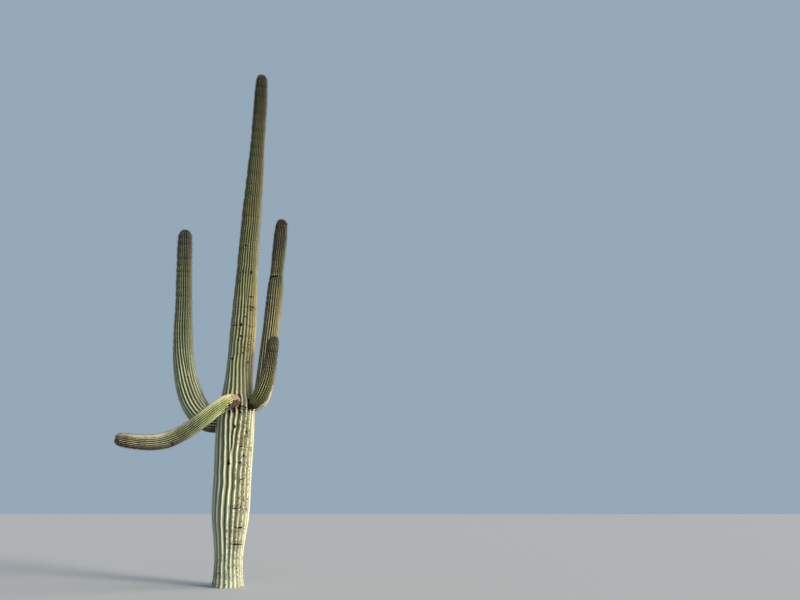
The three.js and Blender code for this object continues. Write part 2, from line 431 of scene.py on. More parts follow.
    def callus(self, *spot):
        """A patch of corky skin where the ribs have worn away."""
        worn = self.patch(*spot)
        filled = self.radius[:, None] * 0.97
        self.radial += (filled - self.radial) * 0.6 * worn + 0.004 * worn * self.ragged
        self.mark(cork=worn)

    def crumple(self, *spot, pitch, depth, dark=1.0, stained=1.0):
        """Skin squeezed into wrinkles across the ribs: painted shade in the creases, brown on the
        folds.
        """
        amount = self.patch(*spot)
        around, along = self.offsets(*spot[:2])
        wave = np.sin((along + 0.2 * around) * 2 * math.pi / pitch + 0.5 * self.ragged)
        self.radial += depth * amount * (wave + 0.5)
        crease = ease((0.1 - wave) / 0.7)
        fold = ease((wave - 0.2) / 0.8)
        self.mark(scar=dark * amount * crease, stain=stained * amount * (1.35 - 0.35 * fold))

    def weather(self, *spot, amount):
        """A patch of rough, weathered skin, where the pale of the crests is broken up."""
        share = self.patch(*spot) * amount
        self.radial += 0.005 * share * self.ragged
        broken = 1 - 0.25 * share * ease(self.ragged * 3 - 0.1)
        self.looks["crest"] = self.looks["crest"] * broken
        self.mark(cork=share * (0.34 + 0.2 * self.ragged))

    def brown(self, *spot, amount):
        """A patch of dried reddish-brown skin."""
        self.mark(stain=self.patch(*spot) * amount)

    def bleach(self, *spot):
        """A patch where the crests alone are sun-bleached."""
        self.mark(pale=self.patch(*spot) * ease((self.height - 0.6) / 0.3))

    def season_ring(self, place, depth, amount):
        """A broken brown ring where one season's growth met the next."""
        along = self.distance[:, None] - place + 0.012 * self.ragged
        share = np.exp(-((along / 0.018) ** 2))
        self.radial -= depth * share
        self.mark(stain=amount * share * ease(0.75 + self.ragged))

    def shade_and_stain_root(self, reach, scar, stain):
        """The pinched root of an arm is brown, and darkened with painted shade, up to this distance
        along it.
        """
        share = ease((reach + 0.05 * self.ragged - self.distance[:, None]) / 0.1)
        self.mark(scar=scar * share, stain=stain * share)

    def finish(self):
        """The skin's points and normals, and the looks that hang on the way it faces: painted
        shade underneath and away from the light, a painted highlight on crests that face up, and
        sunburn with painted warm light on the lit side.
        """
        self.points = self.place(self.radial)
        self.points[-1] = self.points[-1].mean(axis=0)
        ahead = np.gradient(self.points, axis=0)
        around = np.roll(self.points, -1, axis=1) - np.roll(self.points, 1, axis=1)
        normal = np.cross(around, ahead)
        self.normal = normal / np.maximum(np.linalg.norm(normal, axis=2), 1e-9)[:, :, None]

        outward = self.place(np.ones_like(self.radial)) - self.centre[:, None]
        least_shade, shade_start = self.shade
        shade = least_shade + (1 - least_shade) * ease((self.distance - shade_start) / 0.4)
        # Painted shade on the underside, less of it near the root as the shade setting gives.
        self.mark(under=ease((-outward[:, :, 2] - 0.15) / 0.75) * shade[:, None])
        # Crests that face up are paler: partly sun-bleaching, partly a painted highlight from
        # above.
        self.mark(pale=0.8 * (ease((outward[:, :, 2] - 0.2) / 0.65) * self.height))
        turn = math.radians(TANNED_AND_LIT_SIDE)
        facing = outward @ np.array([math.cos(turn), math.sin(turn), 0.0])
        tan = np.interp(self.distance, *self.tan)[:, None]
        # Sunburn and painted warm light on the side that faces the light.
        self.mark(tanned=tan * ease((facing + 0.06 * self.ragged - 0.4) / 0.5))
        # Painted shade on the side turned away from the light.
        self.mark(under=0.32 * ease((-facing - 0.3) / 0.6))

    def build(self, material, strips):
        """The mesh: a grid closed by a fan at its foot and at its tip."""
        self.finish()
        rings, columns = len(self.distance), self.columns
        grid = self.points[:-1].reshape(-1, 3)
        foot = len(grid)
        tip = foot + 1
        vertices = np.concatenate([grid, self.centre[:1], self.points[-1, :1]])
        ring, column = np.divmod(np.arange((rings - 2) * columns), columns)
        beside = (column + 1) % columns
        low, high = ring * columns, (ring + 1) * columns
        quads = np.stack([low + column, low + beside, high + beside, high + column], axis=1)
        last = (rings - 2) * columns
        every = np.arange(columns)
        after = (every + 1) % columns
        foot_fan = np.stack([np.full(columns, foot), after, every], axis=1)
        tip_fan = np.stack([np.full(columns, tip), last + every, last + after], axis=1)
        faces = quads.tolist() + foot_fan.tolist() + tip_fan.tolist()
        piece = mesh_object(self.name, vertices, faces, material)
        self.add_uv(piece, ring, column, strips)
        to_tip = np.broadcast_to(self.to_tip[:, None], self.radial.shape)
        for look, values in {**self.looks, "to_tip": to_tip}.items():
            ends = [values[0].mean(), values[-1].mean()]
            attribute = piece.data.attributes.new(look, "FLOAT", "POINT")
            spread = np.concatenate([values[:-1].ravel(), ends])
            attribute.data.foreach_set("value", spread.astype(np.float32))
        return piece

    def add_uv(self, piece, ring, column, strips):
        """Lays the length out in strips side by side, with the two fans as small discs."""
        margin, disc = 0.01, 0.01
        layer = piece.data.uv_layers.new(name=UV_NAME)
        per_strip = math.ceil((len(self.distance) - 1) / strips)
        strip = ring // per_strip
        ups = np.array([0, 0, 1, 1])
        acrosses = np.array([0, 1, 1, 0])
        place = (column[:, None] + acrosses) / self.columns
        u = (strip[:, None] + margin + place * (1 - 2 * margin)) / strips
        height = (ring[:, None] - strip[:, None] * per_strip + ups) / per_strip
        v = 0.03 + height * 0.96
        quad_uv = np.stack([u, v], axis=2).reshape(-1, 2)
        turn = np.arange(self.columns) / self.columns * 2 * math.pi
        rim = np.stack([np.cos(turn), np.sin(turn)], axis=1) * disc
        following = np.roll(rim, -1, axis=0)
        middle = np.zeros_like(rim)
        foot_uv = np.stack([middle, following, rim], axis=1).reshape(-1, 2) + (0.015, 0.013)
        tip_uv = np.stack([middle, rim, following], axis=1).reshape(-1, 2) + (0.045, 0.013)
        uv = np.concatenate([quad_uv, foot_uv, tip_uv]).astype(np.float32)
        layer.data.foreach_set("uv", uv.ravel())


def areole_spots(skin):
    """Where spines grow, on the crests of ribs that take turns: places, outward and tipward
    directions, and distances to the tip."""
    rings = len(skin.distance)
    ring, rib = np.meshgrid(np.arange(1, rings - 3), np.arange(skin.ribs), indexing="ij")
    chosen = (ring + rib) % 2 == 0
    ring, rib = ring[chosen], rib[chosen]
    parted = skin.parted[rib, ring]
    second = np.isin(rib, [fork[0] + 1 for fork in skin.forks])
    across = np.where(second, 0.5 * parted, 1 - 0.5 * parted)
    column = np.interp(across, np.append(RIB_COLUMNS, 1.0), np.arange(len(RIB_COLUMNS) + 1))
    column = rib * len(RIB_COLUMNS) + column
    low = np.floor(column).astype(int)
    part = (column - low)[:, None]
    low, high = low % skin.columns, (low + 1) % skin.columns
    kept = ~(second & (parted < 0.5)) & (skin.looks["scar"][ring, low] < 0.3)
    place = skin.points[ring, low] * (1 - part) + skin.points[ring, high] * part
    outward = unit(skin.normal[ring, low] * (1 - part) + skin.normal[ring, high] * part)
    tipward = skin.points[ring + 1, low] - skin.points[ring, low]
    tipward -= outward * np.einsum("ij,ij->i", tipward, outward)[:, None]
    return place[kept], outward[kept], unit(tipward)[kept], skin.to_tip[ring][kept]


def joined_shapes(name, corners, faces, material):
    """One mesh of many small shapes. Corners is an array of shapes, corners and X, Y, Z."""
    count, size, _ = corners.shape
    first = np.arange(count)[:, None, None] * size
    every = (np.array(faces)[None] + first).reshape(-1, 3)
    inside = np.clip(corners.reshape(-1, 3), cad_low + BOX_MARGIN, cad_high - BOX_MARGIN)
    return mesh_object(name, inside, every.tolist(), material, smooth=False)


# Spines: their radius, how deep they are rooted, and how long one is left near the box.
SPINE_RADIUS = 0.0011
SPINE_ROOT = 0.002
LEAST_SPINE = 0.002
SPINE_FACES = [(0, 2, 1), (0, 1, 3), (1, 2, 3), (2, 0, 3)]

# Old spines low down are short and sparse, and young ones near a tip are dense bristles. Each
# row: count, least and most tilt from the outward direction in degrees, least and most
# length, and the direction round the spot in degrees that they spread about, or None.
SPINE_AGES = {
    "old": [(4, (60, 84), (0.01, 0.018), None), (1, (25, 50), (0.016, 0.028), 180)],
    "grown": [(5, (52, 80), (0.015, 0.026), None), (2, (15, 42), (0.024, 0.04), 180)],
    "young": [(6, (30, 75), (0.018, 0.032), None), (3, (4, 34), (0.024, 0.042), None)],
}


def room(place, along):
    """How far each line can run along its direction before it leaves the solids' box."""
    step = np.where(np.abs(along) < 1e-6, 1e-6, along)
    walls = np.where(step > 0, cad_high - BOX_MARGIN, cad_low + BOX_MARGIN)
    return np.maximum((walls - place) / step, LEAST_SPINE).min(axis=1)


def spine_corners(place, outward, tipward, spines, chance):
    """The three-sided spines of one age that stand in each spot."""
    sideways = np.cross(outward, tipward)
    shapes = []
    for count, tilts, lengths, way in spines:
        for number in range(count):
            spread = chance.uniform(-0.5, 0.5, len(place))
            if way is None:
                turn = (number + spread) * 2 * math.pi / count
            else:
                turn = math.radians(way) + spread * 1.6
            tilt = np.radians(chance.uniform(*tilts, len(place)))
            flat = tipward * np.cos(turn)[:, None] + sideways * np.sin(turn)[:, None]
            along = outward * np.cos(tilt)[:, None] + flat * np.sin(tilt)[:, None]
            length = np.minimum(chance.uniform(*lengths, len(place)), room(place, along))[:, None]
            across = unit(np.cross(along, tipward * 0.9 + sideways * 0.3))
            other = np.cross(along, across)
            thick = SPINE_RADIUS * (0.6 + length / 0.04 * 0.6)
            root = place - outward * SPINE_ROOT
            corners = []
            for third in range(3):
                angle = third * 2 * math.pi / 3
                ring = across * math.cos(angle) + other * math.sin(angle)
                corners.append(root + ring * thick)
            corners.append(root + along * length)
            shapes.append(np.stack(corners, axis=1))
    return np.concatenate(shapes)


# Felt pads: half their length and width, and how far they reach out of the skin and into it.
PAD_LENGTH = 0.0085
PAD_WIDTH = 0.0055
PAD_RISE = 0.005
PAD_ROOT = 0.004
PAD_FACES = [
    (0, 1, 4), (1, 2, 4), (2, 3, 4), (3, 0, 4),
    (1, 0, 5), (2, 1, 5), (3, 2, 5), (0, 3, 5),
]


def pad_corners(place, outward, tipward):
    """The felt pad of each spot: four corners round it, one above and one below."""
    long, wide = tipward * PAD_LENGTH, np.cross(outward, tipward) * PAD_WIDTH
    steps = [long, wide, -long, -wide, outward * PAD_RISE, -outward * PAD_ROOT]
    return np.stack([place + step for step in steps], axis=1)


def dress(skin, young_reach, old_reach):
    """Pads and spines for one limb, each kind and age in a piece of its own."""
    chance = np.random.default_rng(skin.seed + 50)
    place, outward, tipward, to_tip = areole_spots(skin)
    age = to_tip + chance.normal(0, 0.25, len(to_tip))
    young, old = age < young_reach, age > old_reach
    groups = {"old": old & ~young, "grown": ~old & ~young, "young": young}
    for name, group in groups.items():
        if not group.any():
            continue
        spots = place[group], outward[group], tipward[group]
        spines = spine_corners(*spots, SPINE_AGES[name], chance)
        kinds = [("areoles", pad_corners(*spots), PAD_FACES), ("spines", spines, SPINE_FACES)]
        for kind, corners, faces in kinds:
            material = DRESS_MATERIALS[f"{kind}_{name}"]
            piece = joined_shapes(f"{skin.name}_{kind}_{name}", corners, faces, material)
            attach(piece, "root")


def paint(red, green, blue):
    """A colour given as screen values from 0 to 255, as the shader's linear values."""
    values = [value / 255 for value in (red, green, blue)]
    linear = [v / 12.92 if v <= 0.04045 else ((v + 0.055) / 1.055) ** 2.4 for v in values]
    return (*linear, 1.0)


class Graph:
    """Short ways to add nodes to one material."""

    def __init__(self, name):
        self.material = bpy.data.materials.new(name)
        self.material.use_nodes = True
        self.tree = self.material.node_tree
        self.shader = self.tree.nodes["Principled BSDF"]
        self.place = self.add("ShaderNodeTexCoord", "Object", {})

    def connect(self, value, socket):
        if isinstance(value, bpy.types.NodeSocket):
            self.tree.links.new(value, socket)
        else:
            socket.default_value = value

    def add(self, kind, output, inputs, **settings):
        """Adds a node, fills its inputs and gives one of its outputs."""
        node = self.tree.nodes.new(kind)
        for name, setting in settings.items():
            setattr(node, name, setting)
        for name, value in inputs.items():
            self.connect(value, node.inputs[name])
        return node.outputs[output]

    def attribute(self, name):
        return self.add("ShaderNodeAttribute", "Fac", {}, attribute_name=name)

    def noise(self, scale, detail, stretch=(1, 1, 1)):
        place = {"Vector": self.place, "Scale": stretch}
        inputs = {"Scale": scale, "Detail": detail}
        inputs["Vector"] = self.add("ShaderNodeMapping", "Vector", place)
        return self.add("ShaderNodeTexNoise", "Fac", inputs)

    def math(self, operation, a, b):
        return self.add("ShaderNodeMath", "Value", {0: a, 1: b}, operation=operation)

    def plus(self, a, b):
        return self.math("ADD", a, b)

    def times(self, a, b):
        return self.math("MULTIPLY", a, b)

    def centred(self, value, amount):
        """A value from 0 to 1 turned to run this far in all, evenly about 0."""
        return self.times(self.math("SUBTRACT", value, 0.5), amount)

    def ramp(self, value, low, high, least=0.0, most=1.0):
        """Least up to low, most from high on, and a smooth change between them."""
        inputs = {"Value": value, "From Min": low, "From Max": high}
        inputs.update({"To Min": least, "To Max": most})
        return self.add("ShaderNodeMapRange", "Result", inputs, interpolation_type="SMOOTHSTEP")

    def ladder(self, value, stops):
        """A colour that changes along a value. Stops are (value, screen colour)."""
        reach = stops[-1][0]
        share = self.math("DIVIDE", value, reach)
        result = self.add("ShaderNodeValToRGB", "Color", {"Fac": share})
        elements = result.node.color_ramp.elements
        while len(elements) < len(stops):
            elements.new(0.5)
        for element, (place, colour) in zip(elements, stops):
            element.position = place / reach
            element.color = paint(*colour)
        return result

    def mix(self, a, b, factor, blend="MIX"):
        inputs = {"Factor": factor, "A": a, "B": b}
        return self.add("ShaderNodeMix", "Result", inputs, data_type="RGBA", blend_type=blend)

    def bump(self, height, strength, distance):
        inputs = {"Strength": strength, "Distance": distance, "Height": height}
        normal = self.add("ShaderNodeBump", "Normal", inputs)
        self.connect(normal, self.shader.inputs["Normal"])


def skin_material(name, stops, crest_edge):
    """Waxy skin: dark valleys, pale crests, both by how far they are from the limb's tip.
    Stops are (metres from the tip, crest's colour, valley's colour), and crest edge is where
    the pale of the crests starts and is full, from 0 in a valley to 1 on a crest."""
    graph = Graph(name)
    looks = ("crest", "waist", "tanned", "cork")
    crest, waist, tanned, cork = (graph.attribute(look) for look in looks)
    patchy = graph.noise(9.0, 5, (1, 1, 0.4))
    fine = graph.noise(85.0, 4)
    streak = graph.noise(34.0, 3, (1, 1, 0.12))
    speckle = graph.noise(30.0, 5)
    broken = graph.centred(speckle, 0.7)

    # Crests and valleys, with painted shade in the deepest valleys that is weaker on the lit side.
    from_tip = graph.plus(graph.attribute("to_tip"), graph.centred(graph.noise(2.2, 4), 1.6))
    crest_colour = graph.ladder(from_tip, [(place, colour) for place, colour, _ in stops])
    valley_colour = graph.ladder(from_tip, [(place, colour) for place, _, colour in stops])
    # On the lit side the valleys are painted lighter, towards the crests' colour, as painted light.
    lit_valleys = graph.ramp(tanned, 0, 0.5, 0, 0.28)
    valley_colour = graph.mix(valley_colour, crest_colour, lit_valleys)
    faded = graph.mix(crest_colour, valley_colour, 0.5)
    crest_colour = graph.mix(crest_colour, faded, graph.ramp(patchy, 0.42, 0.7, 0, 0.9))
    crest_colour = graph.mix(crest_colour, faded, graph.ramp(waist, 0.35, 0.95, 0, 0.9))
    edge = graph.ramp(graph.plus(crest, graph.centred(fine, 0.35)), *crest_edge)
    colour = graph.mix(valley_colour, crest_colour, edge)
    # Painted shade at the bottom of the valleys, less of it on the lit side.
    deep = graph.ramp(crest, 0, 0.45, 0.6, 0)
    deep = graph.times(deep, graph.ramp(streak, 0.2, 0.7, 0.6, 1.0))
    deep = graph.times(deep, graph.ramp(tanned, 0, 1.0, 1.0, 0.65))
    colour = graph.mix(colour, PAINTED_VALLEY_SHADE, deep)

    # Sunburn with painted warm light, season rings, painted shade on undersides and on the side
    # away from the light, and bleached crests with a painted highlight on those that face up.
    # Sunburn and painted warm light on the lit side.
    colour = graph.mix(colour, TAN_AND_WARM_LIGHT_TINT, graph.ramp(tanned, 0.1, 0.8), "MULTIPLY")
    colour = graph.mix(colour, WAIST_TINT, graph.ramp(waist, 0.2, 1.0), "MULTIPLY")
    # Painted shade on undersides and on the side away from the light.
    colour = graph.mix(colour, PAINTED_SHADE_COLOUR, graph.times(graph.attribute("under"), 0.9))
    # Bleached crests, and the painted highlight on crests that face up, broken up unevenly.
    uneven = graph.ramp(patchy, 0.3, 0.62, 0.9, 0.45)
    colour = graph.mix(colour, BLEACHED_AND_TOP_LIGHT, graph.times(graph.attribute("pale"), uneven))

    # Cork, stains and scars, the scars also carrying painted shade in creases and at the arms'
    # roots.
    corky = graph.ramp(graph.plus(cork, graph.times(speckle, 0.6)), 0.6, 0.95)
    cork_colour = graph.mix(CORK, PINK_CORK, graph.ramp(graph.noise(7.0, 2), 0.5, 0.62))
    cork_colour = graph.mix(cork_colour, DARK_CORK, graph.ramp(speckle, 0.46, 0.66))
    colour = graph.mix(colour, cork_colour, corky)
    specks = graph.ramp(graph.noise(34.0, 3, (1, 1, 1.8)), 0.55, 0.62, 0, 0.9)
    specks = graph.times(specks, graph.ramp(cork, 0.06, 0.3))
    colour = graph.mix(colour, SCAR_AND_SHADE_DARK, specks)
    stain = graph.plus(graph.attribute("stain"), broken)
    stain = graph.math("SUBTRACT", stain, graph.times(edge, 0.4))
    colour = graph.mix(colour, STAIN, graph.ramp(stain, 0.15, 0.7))
    # Scars, and painted shade in creases and at the arms' roots.
    scar = graph.plus(graph.attribute("scar"), broken)
    colour = graph.mix(colour, SCAR_AND_SHADE_DARK, graph.ramp(scar, 0.36, 0.72))
    graph.connect(colour, graph.shader.inputs["Base Color"])

    rough = graph.ramp(graph.plus(patchy, graph.times(corky, 0.5)), 0.3, 1.0, 0.55, 0.9)
    graph.connect(rough, graph.shader.inputs["Roughness"])
    graph.shader.inputs["Specular IOR Level"].default_value = 0.3
    relief = graph.plus(fine, graph.times(streak, 0.8))
    relief = graph.plus(relief, graph.times(graph.times(corky, patchy), 2.5))
    graph.bump(relief, 0.45, 0.004)
    return graph.material


def plain_material(name, colour, roughness):
    material = bpy.data.materials.new(name)
    material.use_nodes = True
    shader = material.node_tree.nodes["Principled BSDF"]
    shader.inputs["Base Color"].default_value = colour
    shader.inputs["Roughness"].default_value = roughness
    shader.inputs["Specular IOR Level"].default_value = 0.25
    return material


# Painted shade in the deepest valleys.
PAINTED_VALLEY_SHADE = paint(36, 42, 26)
# Sunburn and painted warm light, multiplied in on the lit side.
TAN_AND_WARM_LIGHT_TINT = paint(236, 217, 192)
WAIST_TINT = paint(168, 162, 148)
# Painted shade for undersides and for the side away from the light.
PAINTED_SHADE_COLOUR = paint(40, 38, 20)
# Sun-bleached crests, and the painted highlight on crests that face up.
BLEACHED_AND_TOP_LIGHT = paint(226, 216, 190)
CORK = paint(206, 192, 158)
PINK_CORK = paint(176, 146, 128)
DARK_CORK = paint(132, 112, 84)
STAIN = paint(76, 55, 45)
# Healed scars and cork specks, and the painted shade of creases and arm roots.
SCAR_AND_SHADE_DARK = paint(26, 21, 18)

# Colours along each limb: metres from its tip, and the crests' and the valleys' screen
# colours there.
TRUNK_COLOURS = [
    (0, (108, 92, 76), (58, 56, 46)), (0.5, (110, 106, 78), (56, 62, 44)),
    (2.0, (126, 130, 88), (62, 72, 44)), (3.8, (152, 152, 106), (80, 86, 54)),
    (5.6, (180, 182, 144), (106, 110, 68)), (7.0, (198, 202, 168), (134, 136, 92)),
    (8.6, (242, 242, 216), (140, 144, 108)), (11.0, (244, 246, 228), (162, 170, 136)),
]
LEFT_COLOURS = [
    (0, (110, 106, 98), (56, 64, 66)), (0.3, (128, 130, 112), (46, 60, 54)),
    (1.4, (158, 166, 132), (42, 66, 48)), (2.6, (178, 184, 146), (64, 90, 56)),
    (3.8, (236, 236, 202), (120, 130, 84)), (5.4, (246, 246, 222), (136, 144, 100)),
]
FRONT_COLOURS = [
    (0, (164, 152, 130), (72, 68, 56)), (0.12, (208, 202, 176), (62, 66, 46)),
    (0.6, (238, 236, 204), (52, 64, 36)), (1.3, (222, 228, 174), (64, 82, 40)),
    (1.9, (226, 230, 160), (104, 120, 60)), (2.4, (246, 242, 162), (146, 146, 68)),
    (3.0, (232, 220, 178), (134, 118, 70)),
]
BACK_RIGHT_COLOURS = [
    (0, (104, 84, 72), (50, 46, 40)), (0.3, (120, 116, 94), (52, 56, 42)),
    (1.2, (158, 158, 124), (56, 64, 42)), (2.4, (202, 196, 152), (74, 78, 46)),
    (3.6, (234, 234, 198), (64, 68, 44)), (5.0, (230, 226, 200), (96, 98, 68)),
]
FRONT_RIGHT_COLOURS = [
    (0, (136, 120, 98), (60, 56, 44)), (0.2, (168, 162, 130), (58, 60, 40)),
    (0.7, (224, 222, 172), (60, 66, 36)), (1.3, (238, 236, 162), (72, 82, 36)),
    (2.0, (214, 212, 156), (62, 66, 36)),
]

# Spines and pads of each age: screen colour and roughness.
DRESS_MATERIALS = {
    name: plain_material(name, paint(*colour), roughness)
    for name, colour, roughness in [
        ("spines_old", (112, 106, 92), 0.6), ("areoles_old", (150, 146, 126), 0.9),
        ("spines_grown", (118, 106, 82), 0.5), ("areoles_grown", (150, 142, 108), 0.9),
        ("spines_young", (84, 66, 50), 0.5), ("areoles_young", (104, 78, 58), 0.9),
    ]
}


# An arm's pleats run out where it is pinched at its root. The drooping arm is the least
# swollen, so its pleats are deeper.
ARM_DEPTH = (0.2, 0.35, 0.2, 0.45)
FRONT_ARM_DEPTH = (0.25, 0.35, 0.2, 0.45)


def make_trunk():
    """The trunk's skin, whose marks are placed by height and direction from +X in degrees."""
    points = [(offset, 0, height, radius) for height, offset, radius in TRUNK_STATIONS]
    forks = [
        (12, 2.28, 1), (10, 5.7, 1), (14, 5.26, 1), (2, 3.9, 1), (17, 3.25, 1),
        (20, 6.1, 1), (22, 7.2, -1),
    ]
    skin = Skin(
        "trunk_skin", Limb(points, (0, 1, 0)), 0, 0.0178, 26, forks, 18,
        (0.185, 0.45, 0, 0.9), zero=-90, shift=-0.2, uneven=(0.06, 7, 3.3), waist=(0.01, 0.15, 8.0),
        spacing=(0.17, 0.3), dots=(0.28, 7.0),
        tan=((3.2, 4.1, 4.7, 5.6, 6.2, 7.2, 8.2), (0.3, 0.5, 0.8, 0.8, 0.3, 0.3, 0.7)),
    )
    scar_trunk(skin)
    weather_trunk(skin)
    return skin


def scar_trunk(skin):
    """Healed holes, season rings and cracks. Rows start with a height, and for holes and
    cracks a direction."""
    hole_depth, ring_depth = 0.014, 0.004
    chance = np.random.default_rng(28)
    holes = [
        (2.82, -80), (2.74, -36), (2.74, -27), (2.64, -45), (2.29, -42), (2.16, -54),
        (5.05, -68), (4.63, -82), (4.56, -98), (4.4, -66), (4.66, -32), (4.58, -9),
        (4.27, -93), (4.29, -68), (4.11, -39), (6.01, -50), (6.18, -26), (6.55, -60),
        (6.62, -95),
    ]
    for height, degrees in holes:
        size = chance.uniform(0.015, 0.027)
        skin.wound(height, degrees, size, size * chance.uniform(0.6, 1.1), hole_depth)

    # Larger holes and slits: half the width, half the height, and depth.
    for row in [
        (4.18, -117, 0.034, 0.022, 0.026), (2.15, -91, 0.036, 0.03, 0.026),
        (2.46, -52, 0.05, 0.01, 0.008), (4.86, -90, 0.03, 0.024, 0.018),
        (4.86, -114, 0.026, 0.013, 0.01), (4.47, -40, 0.05, 0.01, 0.01),
    ]:
        skin.wound(*row)

    # Season rings: how brown they are.
    rings = [(4.86, 0.7), (5.25, 0.95), (5.49, 0.6), (6.00, 0.8), (6.75, 0.5), (7.6, 0.5)]
    for height, amount in rings:
        skin.season_ring(height, ring_depth, amount)

    # Cracks across the ribs: half the width, and bend.
    for row in [
        (1.85, -48, 0.07, 0.016), (1.34, -58, 0.125, 0.03), (1.0, -44, 0.095, 0.014),
        (0.72, -38, 0.105, -0.012), (5.27, -38, 0.085, 0), (5.2, -38, 0.075, 0),
        (5.49, -46, 0.06, 0.006),
    ]:
        skin.crack(*row)

    # More holes on the far sides, by a seeded rule.
    for _ in range(34):
        height = chance.uniform(0.5, 6.8)
        degrees = chance.uniform(20, 200)
        size = chance.uniform(0.014, 0.024)
        skin.wound(height, degrees, size * chance.uniform(0.9, 2.6), size, hole_depth)


def weather_trunk(skin):
    """Rough skin, swellings, folds and brown patches. Rows start with a height and a
    direction, then half the width and half the height, except for the swellings."""
    # The lower right, the far side and the foot: how rough they are.
    rough = [
        (1.95, -38, 0.17, 0.8, 1.0), (0.95, -58, 0.2, 0.42, 1.0), (2.85, -55, 0.14, 0.3, 0.9),
        (2.2, 60, 0.2, 0.6, 0.9), (1.1, 130, 0.22, 0.4, 0.9), (4.4, -48, 0.1, 0.45, 0.7),
    ]
    foot = [(0.34, -80), (0.22, -10), (0.3, 50), (0.26, 120), (0.32, 185), (0.2, 235)]
    for *spot, amount in rough + [(*spot, 0.17, 0.24, 0.8) for spot in foot]:
        skin.weather(*spot, amount=amount)

    # Swellings round the arms' roots, brown and with painted shade where they meet the trunk: the
    # arm's radius.
    collar_rise = 0.014
    for row in [(2.95, 168, 0.21), (3.31, -86, 0.14), (3.33, 52, 0.17), (3.27, -22, 0.13)]:
        skin.collar(*row, collar_rise)
    # Crumpled skin, with painted shade in its creases.
    skin.crumple(3.18, -60, 0.1, 0.12, pitch=0.062, depth=0.01, dark=0.9, stained=0.45)
    skin.bleach(3.33, -52, 0.035, 0.03)

    # Brown patches, the first on the crown: how brown they are. The two under the drooping arm's
    # root, at -92 and -104 degrees, are partly its painted shadow.
    for *spot, amount in [
        (skin.limb.length - 0.17, -66, 0.04, 0.06, 0.8), (2.06, -26, 0.028, 0.04, 1.0),
        (3.15, -92, 0.13, 0.065, 0.75), (3.06, -104, 0.1, 0.07, 0.35),
        (3.24, -60, 0.07, 0.06, 0.4), (4.78, -90, 0.02, 0.09, 0.65),
        (4.52, -84, 0.018, 0.06, 0.55), (6.02, -100, 0.055, 0.08, 0.6),
        (5.73, -138, 0.07, 0.11, 0.6), (5.85, -48, 0.06, 0.06, 0.45),
    ]:
        skin.brown(*spot, amount=amount)


def make_left_arm():
    skin = Skin(
        "left_arm_skin", arm_limb(LEFT_ARM_STATIONS), 0.14, 0.014, 22, [(18, 1.46, 1)], 21,
        ARM_DEPTH, waist=(0.016, 0.18, 4.4), spacing=(0.1, 0.18), dots=(0.2, 3.5),
        tan=((1.6, 2.4, 4.6, 5.1), (0, 0.5, 0.6, 0)),
    )
    skin.wound(1.49, 308, 0.018, 0.018, 0.01)
    skin.brown(skin.limb.length - 0.16, 300, 0.045, 0.06, amount=0.9)
    skin.shade_and_stain_root(0.4, 0.35, 0.75)
    return skin


def make_front_arm():
    """The drooping arm: a corky patch over its root, and crumpled skin below it, with painted shade
    in its creases.
    """
    skin = Skin(
        "front_arm_skin", arm_limb(FRONT_ARM_STATIONS), 0.1, 0.014, 22, [], 31,
        FRONT_ARM_DEPTH, waist=(0.012, 0.04, 1.0), dots=(0.1, 1.0), shade=(0.15, 1.25),
    )
    skin.callus(0.26, 294, 0.105, 0.18)
    skin.crumple(0.4, 234, 0.1, 0.23, pitch=0.085, depth=0.014)
    skin.crack(1.68, 254, 0.05, 0.012)
    skin.brown(1.63, 258, 0.05, 0.03, amount=0.5)
    skin.brown(skin.limb.length - 0.05, 282, 0.034, 0.034, amount=1.4)
    skin.shade_and_stain_root(0.24, 0.2, 0.85)
    return skin


def make_back_right_arm():
    """The arm with a waist where its growth once stopped: a dark crease, and worn pale
    crests just above it."""
    skin = Skin(
        "back_right_arm_skin", arm_limb(BACK_RIGHT_ARM_STATIONS), 0.12, 0.014, 20, [], 41,
        ARM_DEPTH, waist=(0.022, 0.12, 4.0), spacing=(0.08, 0.19), dots=(0.28, 5.0),
        tan=((0.9, 1.4, 2.9, 3.1, 4.2, 4.5), (0, 0.8, 0.8, 0, 0, 0.5)), shade=(0.2, 0.9),
    )
    waist_station = 9
    crease = skin.limb.marks[waist_station] - 0.01
    skin.wound(crease, 18, 0.145, 0.022, 0.02)
    skin.wound(crease + 0.01, 190, 0.13, 0.018, 0.014)
    skin.bleach(crease + 0.055, 22, 0.11, 0.028)
    skin.shade_and_stain_root(0.38, 0.3, 0.6)
    return skin


def make_front_right_arm():
    skin = Skin(
        "front_right_arm_skin", arm_limb(FRONT_RIGHT_ARM_STATIONS), 0.12, 0.014, 20, [], 51,
        ARM_DEPTH, waist=(0.01, 0.08, 1.8), spacing=(0.07, 0.18), dots=(0.36, 6.0),
    )
    # A nearly black painted shadow where this arm's root meets the trunk.
    skin.shade_and_stain_root(0.34, 0.9, 0)
    return skin


# Buds: their meshes, the full size, and how deep they are rooted.
BUD_COLUMNS = 20
BUD_RINGS = 13
BUD_LENGTH = 0.052
BUD_RADIUS = 0.017
BUD_ROOT = 0.012


def bud_points(size):
    """A scaly egg-shaped bud that stands on +Z: rings of points from its foot up, then its
    tip."""
    part = np.linspace(0, 1, BUD_RINGS + 1)[:-1, None]
    turn = np.arange(BUD_COLUMNS)[None] * 2 * math.pi / BUD_COLUMNS
    swell = np.sin(math.pi * (0.12 + 0.88 * part)) ** 0.7
    scales = 1 + 0.16 * np.cos(turn * 5 + part * 14) * np.cos(part * 18)
    length = BUD_LENGTH * size
    wide = BUD_RADIUS * size * swell * scales
    rings = np.stack([wide * np.cos(turn), wide * np.sin(turn), length * part + 0 * turn], axis=-1)
    return np.concatenate([rings.reshape(-1, 3), [(0, 0, length)]])


